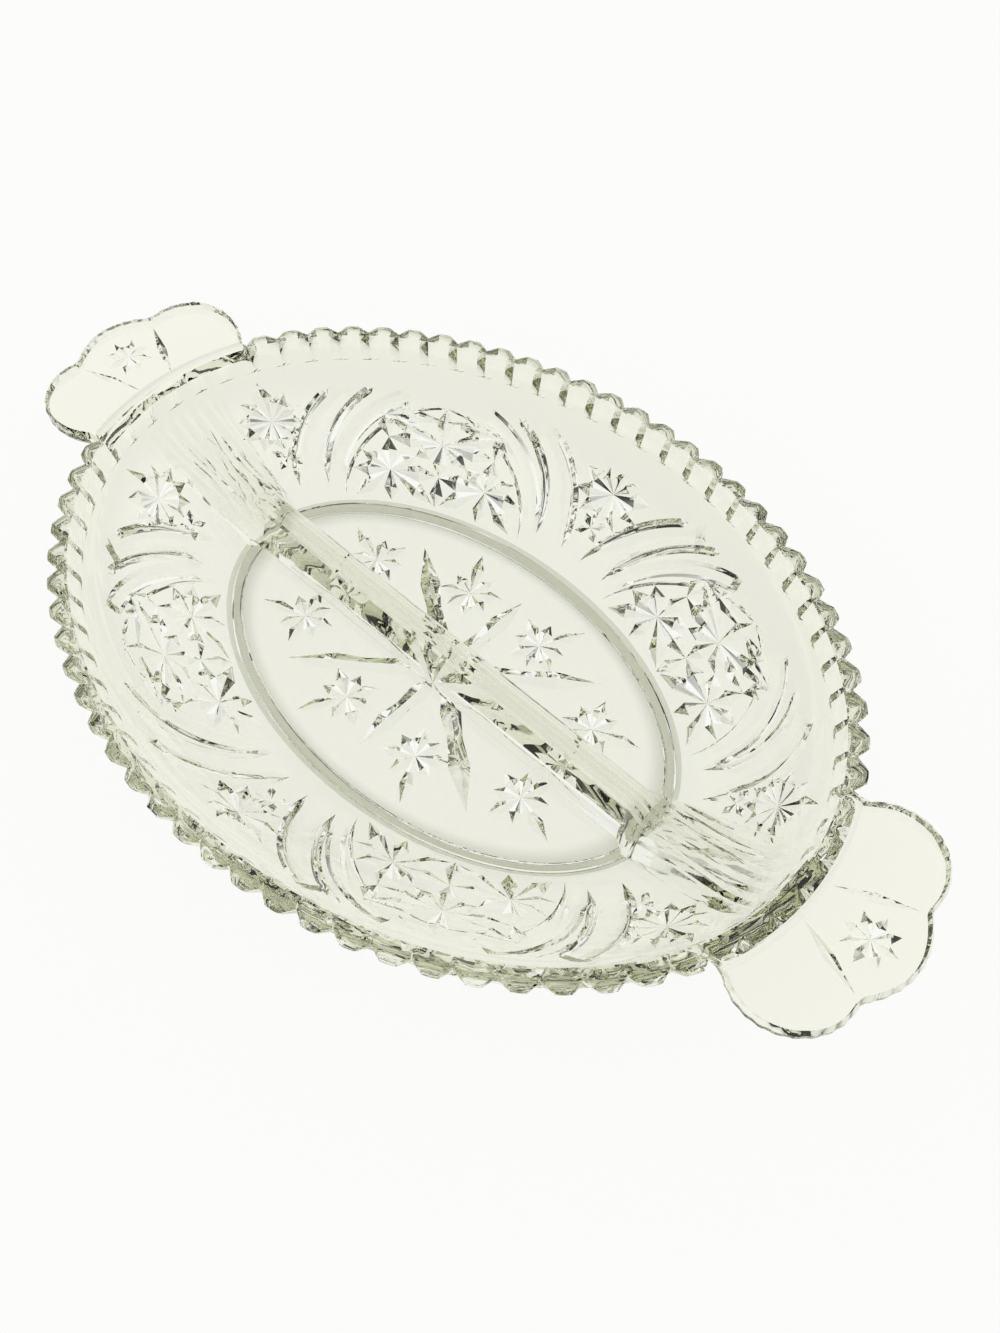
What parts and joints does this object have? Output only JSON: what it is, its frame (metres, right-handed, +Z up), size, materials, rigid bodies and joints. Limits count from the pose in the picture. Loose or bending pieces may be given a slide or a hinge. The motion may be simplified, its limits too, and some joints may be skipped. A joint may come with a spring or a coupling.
{
  "type": "relish tray",
  "caption": "Oval divided relish tray of clear pressed glass, with a saw-tooth fluted rim, starred arches, a starred floor and a lobed tab handle at each end.",
  "frame": {"origin": "middle of the tray's length and width, on the table under the foot ring", "axes": "+X along the length towards one handle, +Y across the divider, +Z up"},
  "size_m": [0.2624, 0.1612, 0.0369],
  "materials": {
    "glass": "clear pressed glass with a faint olive tint, fire polished"
  },
  "bodies": {
    "root": {"foot_ring": "glass", "base_panel": "glass", "side_wall": "glass", "rim_band": "glass", "divider": "glass", "divider_end_right": "glass", "divider_end_left": "glass", "handle_right": "glass", "handle_left": "glass"}
  },
  "joints": []
}
